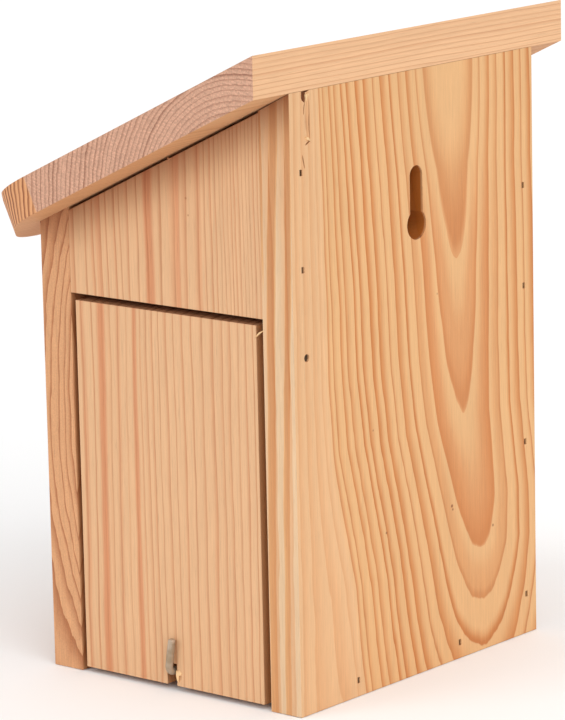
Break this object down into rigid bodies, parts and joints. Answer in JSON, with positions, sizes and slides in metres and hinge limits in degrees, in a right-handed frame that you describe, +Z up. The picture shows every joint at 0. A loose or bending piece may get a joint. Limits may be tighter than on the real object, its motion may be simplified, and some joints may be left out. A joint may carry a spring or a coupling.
{
  "type": "birdhouse",
  "caption": "Wooden nest box with a sloping overhanging roof, round entrance, keyhole hanger in the back and a side door on nail pivots held by a turning L-hook.",
  "frame": {"origin": "middle of the underside of the bounding box (roof overhangs included)", "axes": "+Z up; +Y towards the wall it hangs on (keyhole side); -Y towards the bird's entrance; +X the door side"},
  "size_m": [0.194, 0.1592, 0.2577],
  "materials": {
    "back_board": "planed, unfinished reddish softwood",
    "front_board": "planed, unfinished reddish softwood",
    "side_wall": "planed, unfinished reddish softwood",
    "upper_side_panel": "planed, unfinished reddish softwood",
    "side_door": "planed, unfinished reddish softwood",
    "floor_board": "planed, unfinished reddish softwood",
    "roof_board": "planed, unfinished reddish softwood",
    "zinc_wire": "dull zinc-plated wire",
    "nail_steel": "dark bright-drawn steel, sunk below the surface"
  },
  "bodies": {
    "house": {"back_board": "back_board", "front_board": "front_board", "side_wall": "side_wall", "upper_side_panel": "upper_side_panel", "floor_board": "floor_board", "roof_board": "roof_board", "door_pivot_nail_back": "nail_steel", "door_pivot_nail_front": "nail_steel", "nails_back_to_side_wall": "nail_steel", "nails_back_to_upper_panel": "nail_steel", "nails_back_to_floor": "nail_steel", "nails_front_to_side_wall": "nail_steel", "nails_front_to_upper_panel": "nail_steel", "nails_front_to_floor": "nail_steel", "nails_side_to_floor": "nail_steel", "nails_roof_to_back": "nail_steel", "nails_roof_to_front": "nail_steel"},
    "door": {"side_door": "side_door"},
    "latch": {"latch_hook": "zinc_wire"}
  },
  "joints": [
    {"name": "door_swing", "type": "hinge", "parent": "house", "child": "door", "pos_m": [0.069, 0.01563, 0.1396], "axis": [0, -1, 0], "range_deg": [0, 120]},
    {"name": "latch_turn", "type": "hinge", "parent": "house", "child": "latch", "pos_m": [0.069, 0.01413, 0.0075], "axis": [1, 0, 0], "range_deg": [-180, 180]}
  ]
}
